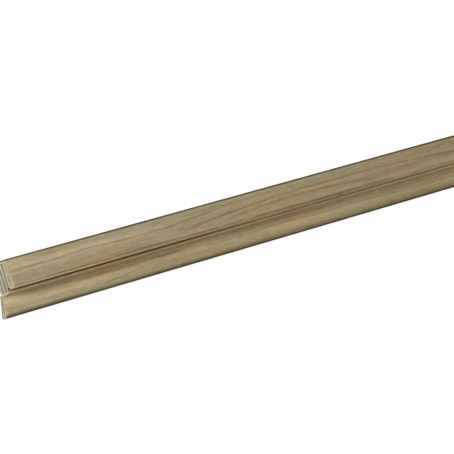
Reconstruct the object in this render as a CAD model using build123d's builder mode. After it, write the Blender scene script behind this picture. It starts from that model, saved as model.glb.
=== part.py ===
"""Multi-wall plastic profile moulding, extruded in one piece.

The piece lies on its back. +X runs along the length, +Y points to the edge
of the upper band and +Z points out of the front face. The origin is the
middle of the footprint, at floor level. All sizes are in millimetres.

The section is drawn once, in the plane of a cut end. A corner in it is given
as its height above the bottom edge, its depth in front of the back, and the
radius that rounds it.
"""
from build123d import *
import os

# Stock
length = 900.0
height = 30.0
wall = 1.2

# Head, the thick upper part, from the back to the slot
back_wall = 1.7
back_chamber = 5.4
rib_chamber = 2.2
slot_chamber = 3.1
chamber_round = 0.35
top_round = 0.9
back_round = 0.5

# Slot behind the lip, wider at its closed end
slot_mouth = 1.8
slot_end = 2.9
slot_roof = 1.6
slot_round = 0.5

# Covering lip, which ends the upper band
step_height = 14.2
lip_thickness = 5.2
lip_round = 2.4
lip_heel = 1.4
hollow_height = 6.7
hollow_round = 0.5

# Shelf under the head, which falls towards the back
lip_gap = 0.7
shelf_wall = 1.0
shelf_reach = 1.0
shelf_fall = 1.2
shelf_round = 0.3

# Notch between the head and the flange, open at the back
notch_height = 1.2
notch_land = 0.6
notch_round = 0.2

# Flange under the shelf, which thickens to its foot, with a narrow drop in it
flange_set = 0.7
flange_neck = 3.1
flange_foot = 5.6
flange_wall = 1.2
flange_root = 0.8
nose_round = 3.0
heel_height = 1.0
heel_round = 0.7
drop_floor = 2.4
drop_height = 7.6
drop_neck = 1.2
drop_foot = 2.0
drop_round = 0.4

# Depths that follow, counted from the back to the front
third_rib = back_wall + back_chamber
second_rib = third_rib + wall + rib_chamber
first_rib = second_rib + wall + slot_chamber
slot_back = first_rib + wall
lip_back = slot_back + slot_mouth
depth = lip_back + lip_thickness
shelf_front = slot_back + shelf_reach
flange_front = third_rib + flange_set
flange_back = flange_front - flange_neck
notch_depth = third_rib - notch_land

# Heights that follow
shelf_height = step_height - lip_gap - shelf_wall
flange_top = shelf_height - shelf_fall
notch_foot = flange_top + shelf_wall
head_foot = notch_foot + notch_height
hollow_foot = step_height + wall
drop_top = drop_floor + drop_height
slot_top = height - slot_roof
ceiling = height - wall


def outline(*corners):
    """Draw a closed line through corners, each rounded by its own radius."""
    points = [corner[:2] for corner in corners]
    radii = [corner[2] for corner in corners]
    FilletPolyline(points, radius=radii, close=True)


def shelf_top(at_depth):
    """Height of the shelf's upper face at a depth."""
    fall_share = (shelf_front - at_depth) / (shelf_front - flange_front)
    return shelf_height + shelf_wall - shelf_fall * fall_share


def flange_face(at_height):
    """Depth of the flange's front at a height."""
    return flange_foot + (flange_front - flange_foot) * at_height / flange_top


# Front of the drop, at its top and at its foot
drop_front = flange_face(drop_top) - flange_wall
foot_front = flange_face(drop_floor) - flange_wall

cut_end = Plane(origin=(-length / 2, -height / 2, 0), x_dir=(0, 1, 0), z_dir=(1, 0, 0))

with BuildPart() as moulding:
    with BuildSketch(cut_end):
        # Outer form: head, lip, slot, shelf, flange and notch in one line
        with BuildLine():
            outline(
                (head_foot, 0, notch_round),
                (height, 0, back_round),
                (height, depth, top_round),
                (step_height, depth, lip_round),
                (step_height, lip_back, lip_heel),
                (slot_top, lip_back, slot_round),
                (slot_top, lip_back - slot_end, slot_round),
                (shelf_top(slot_back), slot_back, shelf_round),
                (shelf_top(shelf_front), shelf_front, shelf_round),
                (shelf_height, shelf_front, shelf_round),
                (flange_top, flange_front, flange_root),
                (0, flange_foot, nose_round),
                (0, 0, heel_round),
                (heel_height, 0, 0),
                (notch_foot, flange_back, notch_round),
                (notch_foot, notch_depth, notch_round),
                (head_foot, notch_depth, notch_round),
            )
        make_face()

        # Hollow in the lip
        with BuildLine():
            outline(
                (hollow_foot, lip_back + wall, hollow_round),
                (hollow_foot, depth - wall, lip_round - wall),
                (hollow_foot + hollow_height, depth - wall, hollow_round),
                (hollow_foot + hollow_height, lip_back + wall, hollow_round),
            )
        make_face(mode=Mode.SUBTRACT)

        # Chamber behind the slot, which narrows as the slot widens
        with BuildLine():
            outline(
                (shelf_top(first_rib), first_rib, chamber_round),
                (ceiling, lip_back - slot_end - wall, chamber_round),
                (ceiling, second_rib + wall, chamber_round),
                (shelf_top(second_rib + wall), second_rib + wall, chamber_round),
            )
        make_face(mode=Mode.SUBTRACT)

        # Chamber between the second and third ribs
        with BuildLine():
            outline(
                (shelf_top(second_rib), second_rib, chamber_round),
                (ceiling, second_rib, chamber_round),
                (ceiling, third_rib + wall, chamber_round),
                (shelf_top(third_rib + wall), third_rib + wall, chamber_round),
            )
        make_face(mode=Mode.SUBTRACT)

        # Chamber against the back wall
        with BuildLine():
            outline(
                (head_foot + wall, third_rib, chamber_round),
                (ceiling, third_rib, chamber_round),
                (ceiling, back_wall, chamber_round),
                (head_foot + wall, back_wall, chamber_round),
            )
        make_face(mode=Mode.SUBTRACT)

        # Drop in the flange, wider at its foot
        with BuildLine():
            outline(
                (drop_top, drop_front, drop_round),
                (drop_floor, foot_front, drop_round),
                (drop_floor, foot_front - drop_foot, drop_round),
                (drop_top, drop_front - drop_neck, drop_round),
            )
        make_face(mode=Mode.SUBTRACT)
    extrude(amount=length)

moulding.part.label = "moulding"

os.makedirs("parts", exist_ok=True)
export_step(moulding.part, "parts/moulding.step")
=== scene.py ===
"""Dresses a hollow plastic profile moulding in its wood print.

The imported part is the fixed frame. The moulding is modelled again here with
fine rounds and a print map, at the frame's own sizes, and stands for the
plain solid. It lies on its back: +X runs along the length, +Y points to the
edge of the upper band and +Z points out of the front face.

Sizes of the section are in millimetres, as on a maker's drawing, and turn
into metres where a mesh is made.
"""
import logging
import math
from dataclasses import dataclass, field
from enum import Enum
from typing import Iterable, Iterator, Sequence

import bpy
from mathutils import Color, Matrix, Vector


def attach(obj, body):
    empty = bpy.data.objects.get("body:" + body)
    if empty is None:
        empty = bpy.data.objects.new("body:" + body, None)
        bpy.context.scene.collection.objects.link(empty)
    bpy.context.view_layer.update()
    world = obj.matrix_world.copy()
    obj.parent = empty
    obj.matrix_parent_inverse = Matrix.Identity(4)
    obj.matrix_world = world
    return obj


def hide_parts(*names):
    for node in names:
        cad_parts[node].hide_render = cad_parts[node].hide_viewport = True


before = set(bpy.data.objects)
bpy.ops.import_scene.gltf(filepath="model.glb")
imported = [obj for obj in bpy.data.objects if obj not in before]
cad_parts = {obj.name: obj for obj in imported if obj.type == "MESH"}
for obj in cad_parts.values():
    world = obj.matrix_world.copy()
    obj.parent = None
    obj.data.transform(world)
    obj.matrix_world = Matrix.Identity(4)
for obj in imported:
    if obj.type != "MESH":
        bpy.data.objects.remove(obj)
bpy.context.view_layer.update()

Socket = bpy.types.NodeSocket
Screen = tuple[int, int, int]
Floats = tuple[float, ...]

MM = 0.001
MICROMETRES = 1e6
WELD = 1e-6
PHOTO_SIDE = 454
SCREEN_TOP = 255
SMOOTH_ANGLE = 35
CUT_NORMAL = 0.5
CIRCULAR = 0.5

# How far below the upper film's print map the lower one's lies, and a place past both cut ends
LOWER_FILM = 100.0
PAST = 900.0

# The Mix node's colour sockets, which share their names with its other kinds
MIX_FIRST, MIX_SECOND, MIX_RESULT = 6, 7, 2

# The mean of a noise, the core of a patch that keeps its full depth, and where a ring starts to fade
NOISE_MEAN = 0.5
PATCH_CORE = 0.2
RING_FADE = 0.82

log = logging.getLogger("profile_moulding")


class Finish(Enum):
    """Which finish a face of the moulding carries."""

    PRINT = 0
    BARE = 1
    # The two hollow finishes are the bare plastic darkened as painted shade in the hollows and the slot
    HOLLOW = 2
    LIP_HOLLOW = 3
    CUT = 4


@dataclass(frozen=True)
class Corner:
    """One corner of the section: height, depth and rounding, in millimetres."""

    height: float
    depth: float
    radius: float = 0.0

    def flat(self) -> Vector:
        """Return the corner as a two-dimensional vector."""
        return Vector((self.height, self.depth))

    def towards(self, other: "Corner", distance: float) -> "Corner":
        """Return the sharp corner that lies a distance from this one towards another."""
        height, depth = self.flat() + (other.flat() - self.flat()).normalized() * distance
        return Corner(height, depth)


def rounded(radius: float, *spots: tuple[float, float]) -> list[Corner]:
    """Return corners of one radius at places given by height and depth."""
    return [Corner(height, depth, radius) for height, depth in spots]


@dataclass
class Section:
    """The moulding's section, in millimetres, with the names of its drawing."""

    height: float = 30.0
    wall: float = 1.2
    back_wall: float = 1.7
    back_chamber: float = 5.4
    rib_chamber: float = 2.2
    slot_chamber: float = 3.1
    chamber_round: float = 0.35
    top_round: float = 0.9
    back_round: float = 0.5
    slot_mouth: float = 1.8
    slot_end: float = 2.9
    slot_roof: float = 1.6
    slot_round: float = 0.5
    step_height: float = 14.2
    lip_thickness: float = 5.2
    lip_round: float = 2.4
    lip_heel: float = 1.4
    hollow_height: float = 6.7
    hollow_round: float = 0.5
    lip_gap: float = 0.7
    shelf_wall: float = 1.0
    shelf_reach: float = 1.0
    shelf_fall: float = 1.2
    shelf_round: float = 0.3
    notch_height: float = 1.2
    notch_land: float = 0.6
    notch_round: float = 0.2
    flange_set: float = 0.7
    flange_neck: float = 3.1
    flange_foot: float = 5.6
    flange_wall: float = 1.2
    flange_root: float = 0.8
    nose_round: float = 3.0
    heel_height: float = 1.0
    heel_round: float = 0.7
    drop_floor: float = 2.4
    drop_height: float = 7.6
    drop_neck: float = 1.2
    drop_foot: float = 2.0
    drop_round: float = 0.4
    film_on_back: float = 2.0
    film_in_slot: float = 2.0
    film_behind_heel: float = 1.5

    def __post_init__(self) -> None:
        """Work out the depths, counted from the back, and the heights that follow."""
        self.third_rib: float = self.back_wall + self.back_chamber
        self.second_rib: float = self.third_rib + self.wall + self.rib_chamber
        self.first_rib: float = self.second_rib + self.wall + self.slot_chamber
        self.slot_back: float = self.first_rib + self.wall
        self.lip_back: float = self.slot_back + self.slot_mouth
        self.depth: float = self.lip_back + self.lip_thickness
        self.shelf_front: float = self.slot_back + self.shelf_reach
        self.flange_front: float = self.third_rib + self.flange_set
        self.notch_depth: float = self.third_rib - self.notch_land
        self.shelf_height: float = self.step_height - self.lip_gap - self.shelf_wall
        self.flange_top: float = self.shelf_height - self.shelf_fall
        self.notch_foot: float = self.flange_top + self.shelf_wall
        self.head_foot: float = self.notch_foot + self.notch_height
        self.slot_top: float = self.height - self.slot_roof

    def shelf_top(self, depth: float) -> float:
        """Find the height of the shelf's upper face.

        Args:
            depth: Where to look, in front of the back.

        Returns:
            The height above the bottom edge.
        """
        share = (self.shelf_front - depth) / (self.shelf_front - self.flange_front)
        return self.shelf_height + self.shelf_wall - self.shelf_fall * share

    def flange_face(self, height: float) -> float:
        """Find the depth of the flange's front.

        Args:
            height: Where to look, above the bottom edge.

        Returns:
            The depth in front of the back.
        """
        rise = (self.flange_front - self.flange_foot) / self.flange_top
        return self.flange_foot + rise * height

    def upper_film(self) -> list[Corner]:
        """List the corners under the upper film.

        Returns:
            The corners, from the back round the lip into the slot.
        """
        top_back = Corner(self.height, 0, self.back_round)
        lip_heel = Corner(self.step_height, self.lip_back, self.lip_heel)
        slot_top = Corner(self.slot_top, self.lip_back, self.slot_round)
        return [
            top_back.towards(Corner(0, 0), self.film_on_back),
            top_back,
            Corner(self.height, self.depth, self.top_round),
            Corner(self.step_height, self.depth, self.lip_round),
            lip_heel,
            lip_heel.towards(slot_top, self.film_in_slot),
        ]

    def lower_film(self) -> list[Corner]:
        """List the corners under the lower film.

        Returns:
            The corners, from the slot round the shelf to the flange's heel.
        """
        slot_foot = Corner(self.shelf_top(self.slot_back), self.slot_back, self.shelf_round)
        slot_top = Corner(self.slot_top, self.lip_back - self.slot_end)
        heel = Corner(self.heel_height, 0)
        return [
            slot_foot.towards(slot_top, self.film_in_slot),
            slot_foot,
            Corner(self.shelf_top(self.shelf_front), self.shelf_front, self.shelf_round),
            Corner(self.shelf_height, self.shelf_front, self.shelf_round),
            Corner(self.flange_top, self.flange_front, self.flange_root),
            Corner(0, self.flange_foot, self.nose_round),
            Corner(0, 0, self.heel_round),
            heel,
            heel.towards(self.flange_neck_rear(), self.film_behind_heel),
        ]

    def flange_neck_rear(self) -> Corner:
        """Return the corner where the flange's rear meets the notch."""
        return Corner(self.notch_foot, self.flange_front - self.flange_neck, self.notch_round)

    def outside(self) -> list[Corner]:
        """List the corners of the outer form.

        Returns:
            The corners, from the head's rear foot round by the front.
        """
        return [
            Corner(self.head_foot, 0, self.notch_round),
            *self.upper_film(),
            Corner(self.slot_top, self.lip_back, self.slot_round),
            Corner(self.slot_top, self.lip_back - self.slot_end, self.slot_round),
            *self.lower_film(),
            self.flange_neck_rear(),
            Corner(self.notch_foot, self.notch_depth, self.notch_round),
            Corner(self.head_foot, self.notch_depth, self.notch_round),
        ]

    def hollows(self) -> list[list[Corner]]:
        """List the corners of each hollow.

        Returns:
            The corners of the lip, the three chambers and the drop in the flange.
        """
        ceiling = self.height - self.wall
        lip_foot, lip_top = self.step_height + self.wall, self.step_height + self.wall + self.hollow_height
        lip_rear, lip_front = self.lip_back + self.wall, self.depth - self.wall
        slot_rear = self.lip_back - self.slot_end - self.wall
        second_front, third_front = self.second_rib + self.wall, self.third_rib + self.wall
        back_foot = self.head_foot + self.wall
        drop_top = self.drop_floor + self.drop_height
        drop_front = self.flange_face(drop_top) - self.flange_wall
        foot_front = self.flange_face(self.drop_floor) - self.flange_wall
        lip = rounded(self.hollow_round, (lip_foot, lip_rear), (lip_foot, lip_front),
                      (lip_top, lip_front), (lip_top, lip_rear))
        lip[1] = Corner(lip_foot, lip_front, self.lip_round - self.wall)
        return [
            lip,
            rounded(self.chamber_round, (self.shelf_top(self.first_rib), self.first_rib),
                    (ceiling, slot_rear), (ceiling, second_front),
                    (self.shelf_top(second_front), second_front)),
            rounded(self.chamber_round, (self.shelf_top(self.second_rib), self.second_rib),
                    (ceiling, self.second_rib), (ceiling, third_front),
                    (self.shelf_top(third_front), third_front)),
            rounded(self.chamber_round, (back_foot, self.third_rib), (ceiling, self.third_rib),
                    (ceiling, self.back_wall), (back_foot, self.back_wall)),
            rounded(self.drop_round, (drop_top, drop_front), (self.drop_floor, foot_front),
                    (self.drop_floor, foot_front - self.drop_foot), (drop_top, drop_front - self.drop_neck)),
        ]


class Nodes:
    """Short calls for building one node material."""

    def __init__(self, name: str) -> None:
        """Start an empty material.

        Args:
            name: The material's name.
        """
        self.material = bpy.data.materials.new(name)
        self.material.use_nodes = True
        self.tree = self.material.node_tree
        self.tree.nodes.clear()

    def add(self, kind: str, inputs: dict[str | int, object] | None = None,
            **settings: object) -> bpy.types.Node:
        """Add a node and feed it.

        Args:
            kind: The node's type name without its ShaderNode prefix.
            inputs: What goes into its inputs, by their names or numbers.
            settings: Properties of the node, by name.

        Returns:
            The new node.
        """
        node = self.tree.nodes.new("ShaderNode" + kind)
        for key, value in settings.items():
            setattr(node, key, value)
        for key, value in (inputs or {}).items():
            self.feed(node.inputs[key], value)
        return node

    def feed(self, socket: Socket, value: object) -> None:
        """Link an output to a socket, or set the socket's own value.

        Args:
            socket: The input to feed.
            value: An output socket, or a number, vector or colour.
        """
        if isinstance(value, Socket):
            self.tree.links.new(value, socket)
        else:
            socket.default_value = value

    def math(self, operation: str, *values: object, clamp: bool = False) -> Socket:
        """Return the result of a Math node, held between 0 and 1 where clamp is set."""
        return self.add("Math", dict(enumerate(values)), operation=operation, use_clamp=clamp).outputs[0]

    def smooth(self, value: Socket, low: float, high: float, bottom: float = 0.0, top: float = 1.0) -> Socket:
        """Return a value mapped smoothly from low and high to bottom and top, held at both ends."""
        inputs = dict(enumerate((value, low, high, bottom, top)))
        return self.add("MapRange", inputs, interpolation_type="SMOOTHSTEP").outputs[0]

    def noise(self, vector: Socket, detail: float = 2.0) -> Socket:
        """Return a noise from 0 to 1, with one cell to each unit of its vector."""
        inputs = {"Vector": vector, "Scale": 1.0, "Detail": detail}
        return self.add("TexNoise", inputs, noise_dimensions="3D").outputs["Fac"]

    def ramp(self, value: Socket, stops: Sequence[tuple[float, Floats]]) -> Socket:
        """Turn a value into a colour.

        Args:
            value: The value, from 0 to 1.
            stops: Values and the linear colours that stand for them.

        Returns:
            The colour's socket.
        """
        node = self.add("ValToRGB", {0: value})
        marks = node.color_ramp.elements
        for index, (place, colour) in enumerate(stops):
            mark = marks[index] if index < len(marks) else marks.new(place)
            mark.position = place
            mark.color = colour
        return node.outputs[0]

    def bump(self, height: Socket, distance: float) -> Socket:
        """Return the normal over a relief, where 1 is one distance in metres high."""
        return self.add("Bump", {"Distance": distance, "Height": height}).outputs[0]

    def vector(self, *values: object) -> Socket:
        """Return three values joined to a vector."""
        return self.add("CombineXYZ", dict(enumerate(values))).outputs[0]

    def split(self, vector: Socket) -> Sequence[Socket]:
        """Return the three values of a vector."""
        return self.add("SeparateXYZ", {0: vector}).outputs

    def scaled(self, vector: Socket, scale: Floats, turn: float = 0.0) -> Socket:
        """Return a vector that is scaled, and turned about the length by some degrees."""
        inputs = {"Vector": vector, "Rotation": (math.radians(turn), 0.0, 0.0), "Scale": scale}
        return self.add("Mapping", inputs).outputs[0]

    def print_map(self) -> Socket:
        """Return the piece's print map, in metres."""
        return self.add("UVMap", uv_map="print").outputs[0]

    def mix(self, share: object, first: object, second: object, blend: str = "MIX") -> Socket:
        """Return two colours mixed, where share is how much of the second shows."""
        inputs = {0: share, MIX_FIRST: first, MIX_SECOND: second}
        return self.add("Mix", inputs, data_type="RGBA", blend_type=blend).outputs[MIX_RESULT]

    def tinted(self, share: object, colour: Socket, tint: object) -> Socket:
        """Return a colour with a share of it multiplied by a tint."""
        return self.mix(share, colour, self.mix(1.0, colour, tint, "MULTIPLY"))

    def finish(self, **inputs: object) -> bpy.types.Material:
        """Close the material with a plain surface shader.

        Args:
            inputs: The shader's inputs, with spaces in their names as underscores.

        Returns:
            The finished material.
        """
        named = {key.replace("_", " "): value for key, value in inputs.items()}
        shader = self.add("BsdfPrincipled", named)
        self.add("OutputMaterial", {"Surface": shader.outputs[0]})
        return self.material


def from_screen(red: int, green: int, blue: int) -> Floats:
    """Turn a colour as a screen shows it into a linear one.

    Args:
        red: Red, from 0 to 255.
        green: Green, from 0 to 255.
        blue: Blue, from 0 to 255.

    Returns:
        The linear colour, with full alpha.
    """
    shares = [level / SCREEN_TOP for level in (red, green, blue)]
    return *Color(shares).from_srgb_to_scene_linear(), 1.0


@dataclass(frozen=True)
class Grain:
    """One noise layer: its cells in millimetres, how many finer layers it has, and its strength."""

    length: float
    width: float
    detail: float
    strength: float = 1.0


@dataclass(frozen=True)
class Film:
    """Where a material stands on the print map, in millimetres along and across it."""

    nodes: Nodes
    along: Socket
    across: object

    def moved(self, shift: object) -> "Film":
        """Return the same film with its place across it shifted."""
        return Film(self.nodes, self.along, self.nodes.math("ADD", self.across, shift))

    def noise(self, grain: Grain) -> Socket:
        """Add a noise that is drawn out along the length.

        Args:
            grain: The layer's cells and fineness.

        Returns:
            The noise, from about -0.5 to 0.5.
        """
        far = self.nodes.math("MULTIPLY", self.along, 1 / grain.length)
        wide = self.nodes.math("MULTIPLY", self.across, 1 / grain.width)
        spot = self.nodes.vector(far, wide, grain.length + grain.width)
        return self.nodes.math("SUBTRACT", self.nodes.noise(spot, grain.detail), NOISE_MEAN)


@dataclass(frozen=True)
class Streak:
    """One line or band of the grain or of painted light and shade, with its places on the print map in
    millimetres.

    Its depth is how many screen levels darker it is, and a negative one is lighter.
    Its taper is the share of each half that fades out.
    """

    first: tuple[float, float]
    last: tuple[float, float]
    width: float
    depth: float
    taper: float = 0.5
    bow: float = 0.0

    def draw(self, film: Film) -> Socket:
        """Draw the streak.

        Args:
            film: Where the material stands.

        Returns:
            How many levels it takes away.
        """
        nodes = film.nodes
        (start, low), (end, high) = self.first, self.last
        half, middle = (end - start) / 2, (end + start) / 2
        share = nodes.math("MULTIPLY_ADD", film.along, 1 / half, -middle / half)
        centre = nodes.math("MULTIPLY_ADD", share, (high - low) / 2, (high + low) / 2 + self.bow)
        if self.bow:
            centre = nodes.math("MULTIPLY_ADD", nodes.math("MULTIPLY", share, share), -self.bow, centre)
        away = nodes.math("ABSOLUTE", nodes.math("SUBTRACT", film.across, centre))
        wide = nodes.smooth(away, 0.0, self.width, self.depth, 0.0)
        far = nodes.smooth(nodes.math("ABSOLUTE", share), 1 - self.taper, 1.0, 1.0, 0.0)
        return nodes.math("MULTIPLY", wide, far)


def band(height: float, width: float, depth: float, taper: float = 0.1,
         start: float = -PAST, end: float = PAST) -> Streak:
    """Return a streak that runs level along the length."""
    return Streak((start, height), (end, height), width, depth, taper)


@dataclass(frozen=True)
class Patch:
    """A soft ellipse that is drawn out along the length."""

    middle: tuple[float, float]
    half_length: float
    half_height: float
    depth: float

    def reach(self, film: Film) -> tuple[Socket, Socket]:
        """Find how far out a place lies, where 1 is on the ellipse.

        Args:
            film: Where the material stands.

        Returns:
            The reach along the length alone, and the whole reach.
        """
        nodes, (far, high) = film.nodes, self.middle
        run = nodes.math("MULTIPLY_ADD", film.along, 1 / self.half_length, -far / self.half_length)
        rise = nodes.math("MULTIPLY_ADD", film.across, 1 / self.half_height, -high / self.half_height)
        squared = nodes.math("ADD", nodes.math("MULTIPLY", run, run), nodes.math("MULTIPLY", rise, rise))
        return run, nodes.math("SQRT", squared)

    def draw(self, film: Film) -> Socket:
        """Return how many levels the patch takes away where the material stands."""
        return film.nodes.smooth(self.reach(film)[1], PATCH_CORE, 1.0, self.depth, 0.0)


@dataclass(frozen=True)
class Ring(Patch):
    """One ring of an arched figure, which fades at both its tips."""

    width: float

    def draw(self, film: Film) -> Socket:
        """Draw the ring.

        Args:
            film: Where the material stands.

        Returns:
            How many levels it takes away.
        """
        nodes = film.nodes
        run, reach = self.reach(film)
        away = nodes.math("ABSOLUTE", nodes.math("SUBTRACT", reach, 1.0))
        ring = nodes.smooth(away, 0.0, self.width / self.half_height, self.depth, 0.0)
        fade = nodes.smooth(nodes.math("ABSOLUTE", run), RING_FADE, 1.0, 1.0, 0.0)
        return nodes.math("MULTIPLY", ring, fade)


@dataclass(frozen=True)
class Marks:
    """Marks on the upper film and on the lower one."""

    upper: Sequence[Streak | Patch] = ()
    lower: Sequence[Streak | Patch] = ()

    def drawn(self, film: Film) -> Iterator[tuple[float, Socket]]:
        """Draw every mark.

        Args:
            film: Where the material stands, counted from the upper film's zero.

        Yields:
            Each mark's depth and how many levels it takes away.
        """
        for marks, place in ((self.upper, film), (self.lower, film.moved(LOWER_FILM))):
            for mark in marks:
                yield mark.depth, mark.draw(place)

    def total(self, film: Film) -> Socket:
        """Add up all the marks.

        Args:
            film: Where the material stands.

        Returns:
            The sum of what they take away.
        """
        total = 0.0
        for _, drawn in self.drawn(film):
            total = film.nodes.math("ADD", total, drawn)
        return total

    def figure(self, film: Film) -> Socket:
        """Join the marks so that dark ones don't add up where they cross.

        Args:
            film: Where the material stands.

        Returns:
            The darkest dark and every light together.
        """
        darkest, lights = 0.0, 0.0
        for depth, drawn in self.drawn(film):
            if depth > 0:
                darkest = film.nodes.math("MAXIMUM", darkest, drawn)
            else:
                lights = film.nodes.math("ADD", lights, drawn)
        return film.nodes.math("ADD", darkest, lights)


# The lines and arches of the grain, with some patches of painted shade and painted light on the lower band's
# left part and at both cut ends
FIGURE_AND_PAINTED_LIGHT = Marks(upper=(
    band(9.8, 3.2, -7),
    band(9.0, 6.0, -13, 0.5, -580, -330),
    Streak((-480, 8.3), (-412, 8.2), 0.65, 30, 0.3),
    Streak((-428, 8.2), (-396, 9.4), 0.65, 34, 0.35),
    Streak((-405, 9.3), (-371, 7.9), 0.65, 36, 0.35),
    Streak((-383, 8.1), (-345, 8.0), 0.65, 34, 0.35),
    Streak((-358, 7.9), (-316, 10.7), 0.65, 32, 0.35),
    Streak((-480, 7.1), (-412, 6.9), 0.7, -9, 0.3),
    Streak((-480, 9.9), (-422, 9.8), 0.9, -12, 0.3),
    Streak((-428, 10.0), (-371, 9.6), 0.8, -3, 0.3, 0.8),
    Streak((-424, 4.4), (-396, 3.7), 0.6, 14),
    Streak((-520, 5.4), (-385, 5.0), 2.2, 8),
    Streak((-400, 11.6), (-280, 11.9), 1.6, 9),
    Streak((-327, 13.3), (-305, 10.6), 0.8, 18),
    Streak((-433, 0.9), (-386, 0.7), 0.8, 38, 0.3),
    band(2.1, 1.5, 9, 0.3, -450, -285),
    Streak((-392, 1.1), (-346, 0.7), 1.2, 40, 0.3),
    band(0.7, 0.8, 44, 0.2, -356, -318),
    band(0.8, 0.75, 38, 0.3, -319, -303),
    band(0.8, 0.8, 40, 0.2, -304, -190),
    band(-0.2, 0.45, 34, 0.3, -266, -196),
    Streak((-190, 0.8), (-120, 0.9), 0.5, 18),
    Streak((-184, 11.8), (-60, 10.4), 0.7, 14, 0.5, 0.3),
    Streak((-160, 6.6), (60, 3.4), 0.6, 22, 0.5, 0.5),
    band(0.7, 0.6, 30, 0.3, -130, 40),
    Streak((60, 4.4), (250, 1.0), 0.6, 20, 0.5, 0.6),
    Streak((112, 10.6), (330, 12.6), 0.6, 18, 0.5, 0.4),
    Streak((230, 0.7), (480, 0.8), 0.6, 30, 0.3),
    Ring((-236, 1.0), 112, 8.0, 26, 0.7),
    Ring((-263, 1.0), 57, 5.2, 26, 0.65),
    Patch((-256, 2.8), 50, 2.6, -8),
    Patch((-452, 13.0), 24, 3.0, -12),
    # Painted highlights on the lip's round at both cut ends
    Patch((-450.4, 2.4), 1.7, 5.5, -48),
    Patch((450.4, 2.4), 1.7, 5.5, -48),
    Ring((20, 13.5), 165, 8.4, 24, 0.7),
    Ring((28, 13.5), 108, 5.4, 22, 0.65),
    Ring((22, 13.5), 56, 2.8, 20, 0.6),
    Ring((318, 4.6), 150, 6.6, 24, 0.7),
    Ring((306, 4.4), 98, 4.3, 22, 0.65),
    Ring((312, 4.2), 48, 2.1, 20, 0.6),
), lower=(
    Streak((-391, -11.7), (-355, -7.7), 0.5, 30, 0.3),
    Streak((-446, -8.2), (-400, -7.4), 0.5, 16, 0.5, 0.2),
    Streak((-340, 0.6), (-60, -1.0), 2.6, 26, 0.1),
    Streak((-310, -4.1), (-226, -4.5), 0.6, 24, 0.3),
    Streak((-362, -5.6), (-336, -5.9), 1.1, 32, 0.3),
    Streak((-376, -4.5), (-356, -4.8), 0.6, 20, 0.3),
    Streak((-326, -7.9), (-256, -6.6), 0.55, 34, 0.3, 0.2),
    Streak((-266, -6.7), (-130, -8.6), 0.55, 30, 0.3, 0.1),
    Streak((-330, -12.6), (-214, -12.7), 0.9, 14),
    Streak((-120, -7.2), (40, -8.2), 0.5, 18, 0.5, 0.2),
    Streak((10, 1.9), (300, 1.7), 2.6, 26, 0.2),
    Streak((-10, -8.0), (230, -7.0), 0.5, 18, 0.5, -0.3),
    Streak((30, -11.8), (150, -9.6), 0.6, 20),
    Streak((200, -7.4), (540, -8.4), 0.5, 18, 0.5, 0.3),
    # A dark smear under the lip on the left part: partly print, partly painted shade from the lip
    Patch((-424, -3.8), 96, 3.0, 20),
    Patch((-384, -6.0), 34, 1.3, 24),
    Patch((-440, -6.3), 16, 1.4, -10),
    Patch((-316, -4.6), 28, 1.6, -12),
    Patch((-180, -5.0), 48, 1.6, -11),
    Patch((-378, -13.6), 36, 0.9, -14),
    # Painted light where light reaches in under the lip at the left cut end, and painted highlights on the
    # nose's round at both cut ends
    Patch((-450, -4.8), 18, 3.2, -52),
    Patch((-450.4, -12.6), 2.1, 3.8, -48),
    Patch((450.4, -12.6), 2.1, 3.8, -48),
    Ring((-20, -13.2), 96, 4.6, 20, 0.6),
    Ring((-26, -13.4), 56, 2.9, 18, 0.55),
    Patch((200, -4.2), 90, 2.8, 20),
    Ring((340, -13.6), 104, 5.0, 20, 0.6),
))

# Painted light and shade in level bands along the print: painted shade, darkest on the rounded top and nose
# edges, in the groove under the lip and in the slot, and painted light that lifts shaded strips
PAINTED_LIGHT_AND_SHADE = Marks(upper=(
    band(15.2, 1.7, 125),
    band(14.2, 1.1, -14, 0.08, -620, -382),
    band(-0.6, 0.8, -16),
    band(-0.5, 0.5, -40, 0.2, -620, -375),
    band(-0.5, 0.5, -18, 0.3, -480, -418),
    band(-2.6, 2.4, -32, 0.05, -310),
    band(-3.0, 2.3, 120, 0.35, -620, -296),
), lower=(
    band(0.5, 7.5, -21, 0.04, -268),
    band(8.2, 3.0, -30, 0.05, -310),
    band(-13.8, 1.1, -20, 0.03, -290),
    band(9.3, 3.4, 100, 0.35, -620, -296),
    band(-0.8, 4.2, -10),
    band(-5.3, 2.4, 7),
    band(-8.4, 3.2, -9),
    band(-9.6, 2.6, -7, 0.03, -290),
    band(-15.55, 3.8, 78),
    band(-15.4, 1.7, 18),
    band(-17.2, 1.3, -55, 0.35, -620, -375),
    band(-15.4, 1.6, 18, 0.03, -290),
))

# Painted shade tints: where the shaded recess under the lip turns warmer and where the painted dark edges
# turn cooler, with shares for depths
WARM_SHADE = Marks((band(-1.6, 3.6, 1.0),), (band(1.5, 8.5, 0.75), band(9.0, 4.0, 0.7)))
COOL_EDGE_SHADE = Marks((band(15.6, 3.6, 1.0),), (band(-14.0, 6.5, 0.55),))

# Where the print loses its gloss: round the underside of the nose
MATT = Marks(lower=(band(-17.5, 5.5, 1.3),))


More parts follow.
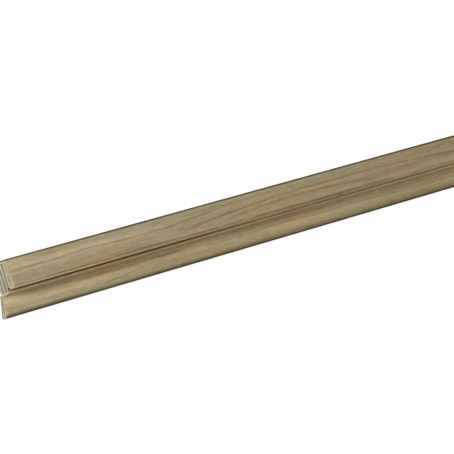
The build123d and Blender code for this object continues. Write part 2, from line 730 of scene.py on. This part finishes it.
@dataclass(frozen=True)
class WoodPrint:
    """The printed grey-brown wood grain of the film on the front, with painted light and shade.

    The colour is worked out as a screen level of its green, which the ramp turns
    into a tone: red is a little above that level and blue is below it.
    """

    level: float = 147.0
    lower_lift: float = 7.0
    # Painted shade: the lower film, the shaded recess and the painted dark edges are tinted by these
    lower_shade_warmth: float = 0.5
    warm_shade_tint: Floats = (1.045, 0.965, 0.78, 1.0)
    cool_edge_shade_tint: Floats = (0.89, 1.01, 1.18, 1.0)
    pink: Floats = (1.08, 0.962, 0.92, 1.0)
    tones: tuple[Screen, ...] = (
        (24, 12, 20), (50, 15, 34), (80, 17, 38), (110, 17, 38), (140, 14, 34), (170, 12, 33), (210, 10, 30),
    )
    swell: float = 6.0
    swell_length: float = 560.0
    swell_start: float = -450.0
    wander: Grain = Grain(55, 1.0, 3.0, 1.1)
    breaks: Grain = Grain(21, 0.8, 2.0)
    break_range: tuple[float, float] = (-0.25, 0.1)
    break_floor: float = 0.45
    tone: Grain = Grain(80, 4.4, 1.0, 36.0)
    streaks: Grain = Grain(26, 0.9, 2.0, 20.0)
    fibres: Grain = Grain(9, 0.36, 3.0, 50.0)
    flecks: Grain = Grain(3.2, 0.5, 1.0, 32.0)
    pores: Grain = Grain(4.5, 0.16, 1.0, -34.0)
    pore_range: tuple[float, float] = (0.15, 0.27)
    hue: Grain = Grain(34, 5.0, 3.0)
    hue_range: tuple[float, float] = (-0.15, 0.15)
    streak_range: tuple[float, float] = (-0.2, 0.2)
    roughness: tuple[float, float] = (0.46, 0.55)
    gloss: float = 0.22
    relief: float = 0.00002

    def material(self) -> bpy.types.Material:
        """Build the material, which reads the print map.

        Returns:
            The finished material.
        """
        nodes = Nodes("wood_print")
        along, across = (nodes.math("DIVIDE", value, MM) for value in nodes.split(nodes.print_map())[:2])
        film = Film(nodes, along, across)
        is_lower = nodes.math("LESS_THAN", across, -LOWER_FILM / 2)
        wander = Film(nodes, along, 0.0).noise(self.wander)
        wandered = film.moved(nodes.math("MULTIPLY", wander, self.wander.strength))
        # Painted shade and painted light in level bands, taken off the level
        level = nodes.math("SUBTRACT", self.drawn(film, wandered), PAINTED_LIGHT_AND_SHADE.total(film))
        level = nodes.math("MULTIPLY_ADD", is_lower, self.lower_lift, level)
        streaks, fibres = wandered.noise(self.streaks), film.noise(self.fibres)
        pores = nodes.smooth(film.noise(self.pores), *self.pore_range)
        layers = (
            (self.tone, wandered.noise(self.tone)), (self.streaks, streaks), (self.fibres, fibres),
            (self.flecks, film.noise(self.flecks)), (self.pores, pores),
        )
        for grain, layer in layers:
            level = nodes.math("MULTIPLY_ADD", layer, grain.strength, level)
        rough = nodes.smooth(streaks, *self.streak_range, *self.roughness)
        matt = nodes.math("MINIMUM", MATT.total(film), 1.0)
        gloss = nodes.math("MULTIPLY_ADD", matt, -self.gloss, self.gloss)
        relief = nodes.bump(nodes.math("SUBTRACT", fibres, pores), self.relief)
        return nodes.finish(Base_Color=self.coloured(film, is_lower, level), Roughness=rough,
                            Specular_IOR_Level=gloss, Normal=relief)

    def drawn(self, film: Film, wandered: Film) -> Socket:
        """Draw the figure, with its painted light and shade, on a level that swells slowly along the length.

        Args:
            film: Where the material stands.
            wandered: The same with the grain's wander.

        Returns:
            The level.
        """
        nodes, turn = film.nodes, math.tau / self.swell_length
        wave = nodes.math("COSINE", nodes.math("MULTIPLY_ADD", film.along, turn, -self.swell_start * turn))
        level = nodes.math("ADD", self.level, nodes.math("MULTIPLY", wave, self.swell))
        broken = nodes.smooth(wandered.noise(self.breaks), *self.break_range, self.break_floor, 1.0)
        return nodes.math("SUBTRACT", level, nodes.math("MULTIPLY", FIGURE_AND_PAINTED_LIGHT.figure(wandered), broken))

    def coloured(self, film: Film, is_lower: Socket, level: Socket) -> Socket:
        """Turn the level into a colour, pinker in places, and warmer and cooler as painted shade.

        Args:
            film: Where the material stands.
            is_lower: 1 on the lower film and 0 on the upper one.
            level: The level.

        Returns:
            The colour.
        """
        nodes = film.nodes
        stops = [(green / SCREEN_TOP, from_screen(green + over, green, green - under))
                 for green, over, under in self.tones]
        colour = nodes.ramp(nodes.math("DIVIDE", level, SCREEN_TOP), stops)
        colour = nodes.tinted(nodes.smooth(film.noise(self.hue), *self.hue_range), colour, self.pink)
        # Painted shade tints: warmer on the lower film and the shaded recess, cooler on the painted dark
        # edges
        shade_warmth = nodes.math("MULTIPLY_ADD", is_lower, self.lower_shade_warmth, WARM_SHADE.total(film), clamp=True)
        colour = nodes.tinted(shade_warmth, colour, self.warm_shade_tint)
        return nodes.tinted(COOL_EDGE_SHADE.total(film), colour, self.cool_edge_shade_tint)


@dataclass(frozen=True)
class BarePlastic:
    """The plastic that shows behind, with faint lines from the die; darker copies of it, as painted shade,
    line the slot and the hollows.
    """

    name: str = "bare_plastic"
    colour: Screen = (196, 186, 158)
    lined: Screen = (182, 171, 142)
    line_scale: Floats = (3, 1400, 1)
    line_detail: float = 3.0
    cloud_scale: Floats = (14, 120, 1)
    cloud_share: float = 0.6
    lined_range: tuple[float, float] = (0.6, 1.0)
    roughness: float = 0.5
    relief: float = 0.00002

    def material(self) -> bpy.types.Material:
        """Build the material, which reads the print map.

        Returns:
            The finished material.
        """
        nodes = Nodes(self.name)
        place = nodes.print_map()
        lines = nodes.noise(nodes.scaled(place, self.line_scale), self.line_detail)
        cloud = nodes.noise(nodes.scaled(place, self.cloud_scale))
        share = nodes.smooth(nodes.math("MULTIPLY_ADD", cloud, self.cloud_share, lines), *self.lined_range)
        colour = nodes.mix(share, from_screen(*self.colour), from_screen(*self.lined))
        relief = nodes.bump(lines, self.relief)
        return nodes.finish(Base_Color=colour, Roughness=self.roughness, Normal=relief)


@dataclass(frozen=True)
class SawnPlastic:
    """The cut ends: pale at the skin of each wall, browner inside, with fine saw marks.

    The film's own edge shows as a thin dark line, widened by painted shade along the top and down the
    flange's rear.
    """

    section: Section
    skin: Screen = (234, 229, 204)
    core: Screen = (178, 164, 131)
    # The film edge's colour, also used for the painted shade along the top and down the flange's rear
    film: Screen = (112, 96, 68)
    skin_reach: float = 0.9
    film_range: tuple[float, float] = (0.62, 0.72)
    # Reach and blur of the painted shade along the top and down the flange's rear, in millimetres
    top_shade_width: float = 0.75
    top_shade_blur: float = 0.15
    rear_shade_width: float = 1.0
    rear_blur: float = 0.25
    saw_turn: float = 24.0
    saw_scale: Floats = (1, 260, 2600)
    crumb_scale: Floats = (1600, 1600, 1600)
    darkest: float = 0.84
    saw_shade: float = 0.2
    crumb_shade: float = 0.12
    roughness: float = 0.62
    relief: float = 0.00003

    def material(self) -> bpy.types.Material:
        """Build the material, which reads the skin, the film and the place in metres.

        Returns:
            The finished material.
        """
        nodes = Nodes("sawn_plastic")
        place = nodes.add("TexCoord").outputs["Object"]
        marks = nodes.noise(nodes.scaled(place, self.saw_scale, self.saw_turn))
        crumb = nodes.noise(nodes.scaled(place, self.crumb_scale))
        skin, film = (nodes.add("Attribute", attribute_name=name).outputs["Fac"] for name in ("skin", "film"))
        colour = nodes.mix(nodes.smooth(skin, 0.0, self.skin_reach), from_screen(*self.core),
                           from_screen(*self.skin))
        # The film's edge, and painted shade along the top and down the flange's rear
        edge = nodes.math("MAXIMUM", nodes.smooth(film, *self.film_range), self.painted_rim_shade(nodes, place))
        colour = nodes.mix(edge, colour, from_screen(*self.film))
        shade = nodes.math("MULTIPLY_ADD", crumb, self.crumb_shade, self.darkest)
        shade = nodes.math("MULTIPLY_ADD", marks, self.saw_shade, shade)
        grey = nodes.add("CombineColor", dict.fromkeys(range(3), shade))
        relief = nodes.bump(nodes.math("ADD", marks, crumb), self.relief)
        return nodes.finish(Base_Color=nodes.mix(1.0, colour, grey.outputs[0], "MULTIPLY"),
                            Roughness=self.roughness, Normal=relief)

    def painted_rim_shade(self, nodes: Nodes, place: Socket) -> Socket:
        """Mark the painted shade that widens the film's edge, along the top and down the flange's rear.

        Args:
            nodes: The material's nodes.
            place: The place on the piece, in metres.

        Returns:
            Where the painted shade lies, from 0 to 1.
        """
        middle = self.section.height / 2
        height = nodes.split(place)[1]
        start, blur = middle - self.top_shade_width, self.top_shade_blur
        top = nodes.smooth(height, (start - blur) * MM, (start + blur) * MM)
        heel, neck = Corner(self.section.heel_height, 0.0), self.section.flange_neck_rear()
        rise, run = (neck.flat() - heel.flat()).normalized()
        across = nodes.add("VectorMath", {0: place, 1: (0.0, -run, rise)}, operation="DOT_PRODUCT")
        end, blur = (middle - heel.height) * run + self.rear_shade_width, self.rear_blur
        inside = nodes.smooth(across.outputs["Value"], (end - blur) * MM, (end + blur) * MM, 1.0, 0.0)
        under_neck = nodes.math("LESS_THAN", height, (neck.height - middle) * MM)
        return nodes.math("MAXIMUM", top, nodes.math("MULTIPLY", inside, under_neck))


@dataclass(frozen=True)
class Strip:
    """Where one film lies round the rim, in metres, and the zero of its print map."""

    start: float
    end: float
    zero: float

    def holds(self, spot: float) -> bool:
        """Tell whether a place round the rim lies under the film."""
        return self.start < spot < self.end


def is_cut(face: bpy.types.MeshPolygon) -> bool:
    """Tell whether a face belongs to a cut end."""
    return abs(face.normal.x) > CUT_NORMAL


def select_only(*pieces: bpy.types.Object) -> None:
    """Select some pieces alone and make the first of them active.

    Args:
        pieces: The pieces.
    """
    bpy.ops.object.select_all(action="DESELECT")
    for piece in pieces:
        piece.select_set(True)
    bpy.context.view_layer.objects.active = pieces[0]


def clear_selection(kind: str) -> None:
    """Deselect all of the active mesh and set what is selected next.

    Args:
        kind: VERT, EDGE or FACE.
    """
    bpy.ops.object.mode_set(mode="EDIT")
    bpy.ops.mesh.select_mode(type=kind)
    bpy.ops.mesh.select_all(action="DESELECT")
    bpy.ops.object.mode_set(mode="OBJECT")


@dataclass
class Moulding:
    """The whole profile as one piece, drawn as a section and drawn out."""

    section: Section = field(default_factory=Section)
    length: float = 900.0
    round_steps: int = 6
    skin: float = 0.5
    name: str = "wood_print_moulding"
    rim: list[Vector] = field(default_factory=list, init=False)

    def place(self, corner: Corner) -> Vector:
        """Find a corner's place at the left cut end, in metres."""
        return Vector((-self.length / 2, corner.height - self.section.height / 2, corner.depth)) * MM

    def draw(self, corners: Sequence[Corner]) -> bpy.types.Object:
        """Draw one closed outline and round its corners.

        Args:
            corners: The corners in order.

        Returns:
            A flat piece with the rounded outline.
        """
        bpy.ops.object.select_all(action="DESELECT")
        bpy.ops.mesh.primitive_circle_add(vertices=len(corners), radius=MM, fill_type="NGON")
        piece = bpy.context.object
        for vertex, corner in zip(piece.data.vertices, corners):
            vertex.co = self.place(corner)
        for index, corner in enumerate(corners):
            if corner.radius > 0:
                before, after = corners[index - 1], corners[(index + 1) % len(corners)]
                self.round_corner(piece, before, corner, after)
        return piece

    def round_corner(self, piece: bpy.types.Object, before: Corner, corner: Corner, after: Corner) -> None:
        """Round one corner of a flat piece with a vertex bevel.

        Args:
            piece: The flat piece.
            before: The corner before.
            corner: The corner to round.
            after: The corner after.
        """
        opening = (before.flat() - corner.flat()).angle(after.flat() - corner.flat())
        reach = corner.radius / math.tan(opening / 2)
        spot = self.place(corner)
        clear_selection("VERT")
        nearest = min(piece.data.vertices, key=lambda vertex: (vertex.co - spot).length)
        nearest.select = True
        bpy.ops.object.mode_set(mode="EDIT")
        bpy.ops.mesh.bevel(offset_type="OFFSET", offset=reach * MM, segments=self.round_steps,
                           profile=CIRCULAR, affect="VERTICES", clamp_overlap=False)
        bpy.ops.object.mode_set(mode="OBJECT")

    def build(self) -> bpy.types.Object:
        """Model the moulding.

        Returns:
            The finished mesh object, at the origin.
        """
        outer = self.draw(self.section.outside())
        self.rim = [outer.data.vertices[index].co.copy() for index in outer.data.polygons[0].vertices]
        hollows = [self.draw(corners) for corners in self.section.hollows()]
        select_only(outer, *hollows)
        bpy.ops.object.join()
        bpy.ops.object.mode_set(mode="EDIT")
        bpy.ops.mesh.select_mode(type="EDGE")
        bpy.ops.mesh.select_all(action="SELECT")
        bpy.ops.mesh.delete(type="ONLY_FACE")
        bpy.ops.mesh.select_all(action="SELECT")
        bpy.ops.mesh.fill(use_beauty=True)
        bpy.ops.mesh.select_all(action="SELECT")
        bpy.ops.mesh.extrude_region_move(TRANSFORM_OT_translate={"value": (self.length * MM, 0, 0)})
        bpy.ops.mesh.select_all(action="SELECT")
        bpy.ops.mesh.remove_doubles(threshold=WELD)
        bpy.ops.mesh.normals_make_consistent(inside=False)
        bpy.ops.object.mode_set(mode="OBJECT")
        self.rim_the_ends(outer)
        outer.name = self.name
        outer.data.name = self.name
        return outer

    def rim_the_ends(self, piece: bpy.types.Object) -> None:
        """Inset both cut ends by the skin and mark the skin's outer line.

        Args:
            piece: The moulding, still without finishes.
        """
        clear_selection("FACE")
        for face in piece.data.polygons:
            face.select = is_cut(face)
        bpy.ops.object.mode_set(mode="EDIT")
        bpy.ops.mesh.inset(thickness=self.skin * MM, use_boundary=True, use_even_offset=True)
        bpy.ops.object.mode_set(mode="OBJECT")
        sides = [face for face in piece.data.polygons if not is_cut(face)]
        self.mark(piece.data.attributes.new("skin", "FLOAT", "POINT"), sides)

    def mark(self, attribute: bpy.types.Attribute, faces: Iterable[bpy.types.MeshPolygon]) -> None:
        """Set an attribute to 1 at the vertices of some faces.

        Args:
            attribute: The attribute, which is 0 elsewhere.
            faces: The faces.
        """
        for face in faces:
            for index in face.vertices:
                attribute.data[index].value = 1.0

    def dress(self, piece: bpy.types.Object) -> None:
        """Map the print round the front and give each face its finish.

        Args:
            piece: The modelled moulding.
        """
        self.add_finishes(piece)
        select_only(piece)
        bpy.ops.object.shade_smooth_by_angle(angle=math.radians(SMOOTH_ANGLE))
        for layer in list(piece.data.uv_layers):
            piece.data.uv_layers.remove(layer)
        layer = piece.data.uv_layers.new(name="print")
        edges = piece.data.attributes.new("film", "FLOAT", "POINT")
        runs = self.rim_runs()
        strips = self.strips(runs)
        for face in piece.data.polygons:
            corners = [piece.data.vertices[index].co for index in face.vertices]
            spots = [runs.get(self.key(corner)) for corner in corners]
            finish, strip = self.finish_of(face, spots, strips)
            face.material_index = finish.value
            if strip:
                self.mark(edges, [face])
            zero = strip.zero if strip else 0.0
            for index, corner, spot in zip(face.loop_indices, corners, spots):
                across = corner.y + corner.z if spot is None else zero - spot
                layer.data[index].uv = (corner.x, across)

    def add_finishes(self, piece: bpy.types.Object) -> None:
        """Give the piece one material slot for each finish.

        Args:
            piece: The modelled moulding.
        """
        finishes = {
            Finish.PRINT: WoodPrint(),
            Finish.BARE: BarePlastic(),
            # Darker copies of the bare plastic, as painted shade in the hollows and the slot
            Finish.HOLLOW: BarePlastic("hollow_plastic_painted_shade", (164, 155, 126), (150, 141, 113)),
            Finish.LIP_HOLLOW: BarePlastic("lip_hollow_plastic_painted_shade", (178, 172, 146), (166, 160, 134)),
            Finish.CUT: SawnPlastic(self.section),
        }
        piece.data.materials.clear()
        for finish in Finish:
            piece.data.materials.append(finishes[finish].material())

    def finish_of(self, face: bpy.types.MeshPolygon, spots: Sequence[float | None],
                  strips: Sequence[Strip]) -> tuple[Finish, Strip | None]:
        """Choose a face's finish.

        Args:
            face: The face.
            spots: How far round the rim each of its vertices lies, or None off the rim.
            strips: The upper film's strip and the lower one's.

        Returns:
            The finish, and the strip that the face lies under, if any.
        """
        if is_cut(face):
            return Finish.CUT, None
        # Faces in the hollows take the darker finishes of painted shade
        if None in spots:
            in_lip = face.center.z > self.section.lip_back * MM
            return (Finish.LIP_HOLLOW if in_lip else Finish.HOLLOW), None
        middle = sum(spots) / len(spots)
        strip = next((strip for strip in strips if strip.holds(middle)), None)
        if strip:
            return Finish.PRINT, strip
        # The slot between the films takes the hollow finish of painted shade
        upper, lower = strips
        return (Finish.HOLLOW if upper.end < middle < lower.start else Finish.BARE), None

    def key(self, spot: Vector) -> tuple[int, int]:
        """Return a vertex's place in the section, in whole micrometres."""
        return round(spot.y * MICROMETRES), round(spot.z * MICROMETRES)

    def rim_runs(self) -> dict[tuple[int, int], float]:
        """Measure how far round the outer rim each of its vertices lies.

        Returns:
            The way from the rim's first vertex, in metres, by each vertex's key.
        """
        runs, total = {}, 0.0
        for here, after in zip(self.rim, self.rim[1:] + self.rim[:1]):
            runs[self.key(here)] = total
            total += (after - here).length
        return runs

    def strips(self, runs: dict[tuple[int, int], float]) -> list[Strip]:
        """Find where each film lies.

        Each zero is such that the map's height equals the piece's own height on the
        flat face that the film shows: the upper band, and the lower one.

        Args:
            runs: How far round the rim each vertex lies.

        Returns:
            The upper film's strip and the lower one's.
        """
        section = self.section
        upper_flat = Corner(section.height - section.top_round, section.depth)
        lower_flat = Corner(section.nose_round, section.flange_face(section.nose_round))
        strips = []
        for corners, flat, shift in ((section.upper_film(), upper_flat, 0.0),
                                     (section.lower_film(), lower_flat, LOWER_FILM)):
            ends = sorted(runs[self.key(self.place(corner))] for corner in (corners[0], corners[-1]))
            nearest = min(self.rim, key=lambda spot: (spot - self.place(flat)).length)
            strips.append(Strip(*ends, nearest.y + runs[self.key(nearest)] - shift * MM))
        return strips


@dataclass(frozen=True)
class PhotoCamera:
    """A camera at the photograph's angle, with places in metres."""

    place: tuple[float, float, float] = (-0.91499, 0.00461, 0.98011)
    right: tuple[float, float, float] = (0.81485, -0.27218, 0.51179)
    up: tuple[float, float, float] = (0.23294, 0.96224, 0.14086)
    focal_pixels: float = 2058.4
    sensor: float = 36.0
    nearest: float = 0.01

    def build(self) -> bpy.types.Object:
        """Add the camera and make it the scene's own.

        Returns:
            The camera object.
        """
        data = bpy.data.cameras.new("photo_camera")
        data.sensor_fit = "HORIZONTAL"
        data.sensor_width = self.sensor
        data.lens = self.focal_pixels * self.sensor / PHOTO_SIDE
        data.clip_start = self.nearest
        camera = bpy.data.objects.new("photo_camera", data)
        bpy.context.collection.objects.link(camera)
        right, up = Vector(self.right).normalized(), Vector(self.up).normalized()
        back = right.cross(up).normalized()
        turn = Matrix((right, back.cross(right), back)).transposed().to_4x4()
        camera.matrix_world = Matrix.Translation(self.place) @ turn
        bpy.context.scene.camera = camera
        return camera


@dataclass(frozen=True)
class Studio:
    """A pale floor and plain soft light, with places and sizes in metres."""

    floor_side: float = 8.0
    floor_colour: Floats = (0.4, 0.4, 0.4, 1.0)
    floor_glow: float = 0.78
    lamp_place: tuple[float, float, float] = (-2.1, 0.4, 1.95)
    lamp_side: float = 1.3
    lamp_watts: float = 62.0
    sky: float = 0.3

    def build(self) -> None:
        """Build the floor, the lamp and the world."""
        self.floor()
        self.lamp()
        world = bpy.data.worlds.new("studio")
        bpy.context.scene.world = world
        world.use_nodes = True
        background = world.node_tree.nodes["Background"]
        background.inputs["Color"].default_value = (1, 1, 1, 1)
        background.inputs["Strength"].default_value = self.sky

    def floor(self) -> bpy.types.Object:
        """Build the floor, white to the camera, with the object's shadow.

        Returns:
            The floor object.
        """
        bpy.ops.object.select_all(action="DESELECT")
        bpy.ops.mesh.primitive_plane_add(size=self.floor_side, location=(0, 0, 0))
        floor = bpy.context.object
        floor.name = "floor"
        nodes = Nodes("pale_floor")
        diffuse = nodes.add("BsdfDiffuse", {"Color": self.floor_colour})
        glow = nodes.add("Emission", {"Strength": self.floor_glow})
        rays = nodes.add("LightPath").outputs
        seen = nodes.math("ADD", rays["Is Camera Ray"], rays["Is Glossy Ray"])
        seen = nodes.math("ADD", seen, rays["Is Transmission Ray"], clamp=True)
        choice = nodes.add("MixShader", {0: seen, 2: glow.outputs[0]})
        both = nodes.add("AddShader", {0: diffuse.outputs[0], 1: choice.outputs[0]})
        nodes.add("OutputMaterial", {"Surface": both.outputs[0]})
        floor.data.materials.append(nodes.material)
        return floor

    def lamp(self) -> None:
        """Add a square soft lamp that points at the moulding's middle."""
        data = bpy.data.lights.new("soft_box", "AREA")
        data.shape = "SQUARE"
        data.size = self.lamp_side
        data.energy = self.lamp_watts
        lamp = bpy.data.objects.new("soft_box", data)
        bpy.context.collection.objects.link(lamp)
        lamp.location = self.lamp_place
        lamp.rotation_euler = (-Vector(self.lamp_place)).to_track_quat("-Z", "Y").to_euler()


def main() -> None:
    """Build the moulding, its finish, the studio and the camera."""
    logging.basicConfig(level=logging.INFO, format="%(name)s: %(message)s")
    bpy.context.scene.view_settings.view_transform = "Standard"
    PhotoCamera().build()
    moulding = Moulding()
    piece = moulding.build()
    moulding.dress(piece)
    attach(piece, "root")
    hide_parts("moulding")
    log.info("%s: %d faces", piece.name, len(piece.data.polygons))
    Studio().build()


if __name__ == "__main__":
    main()
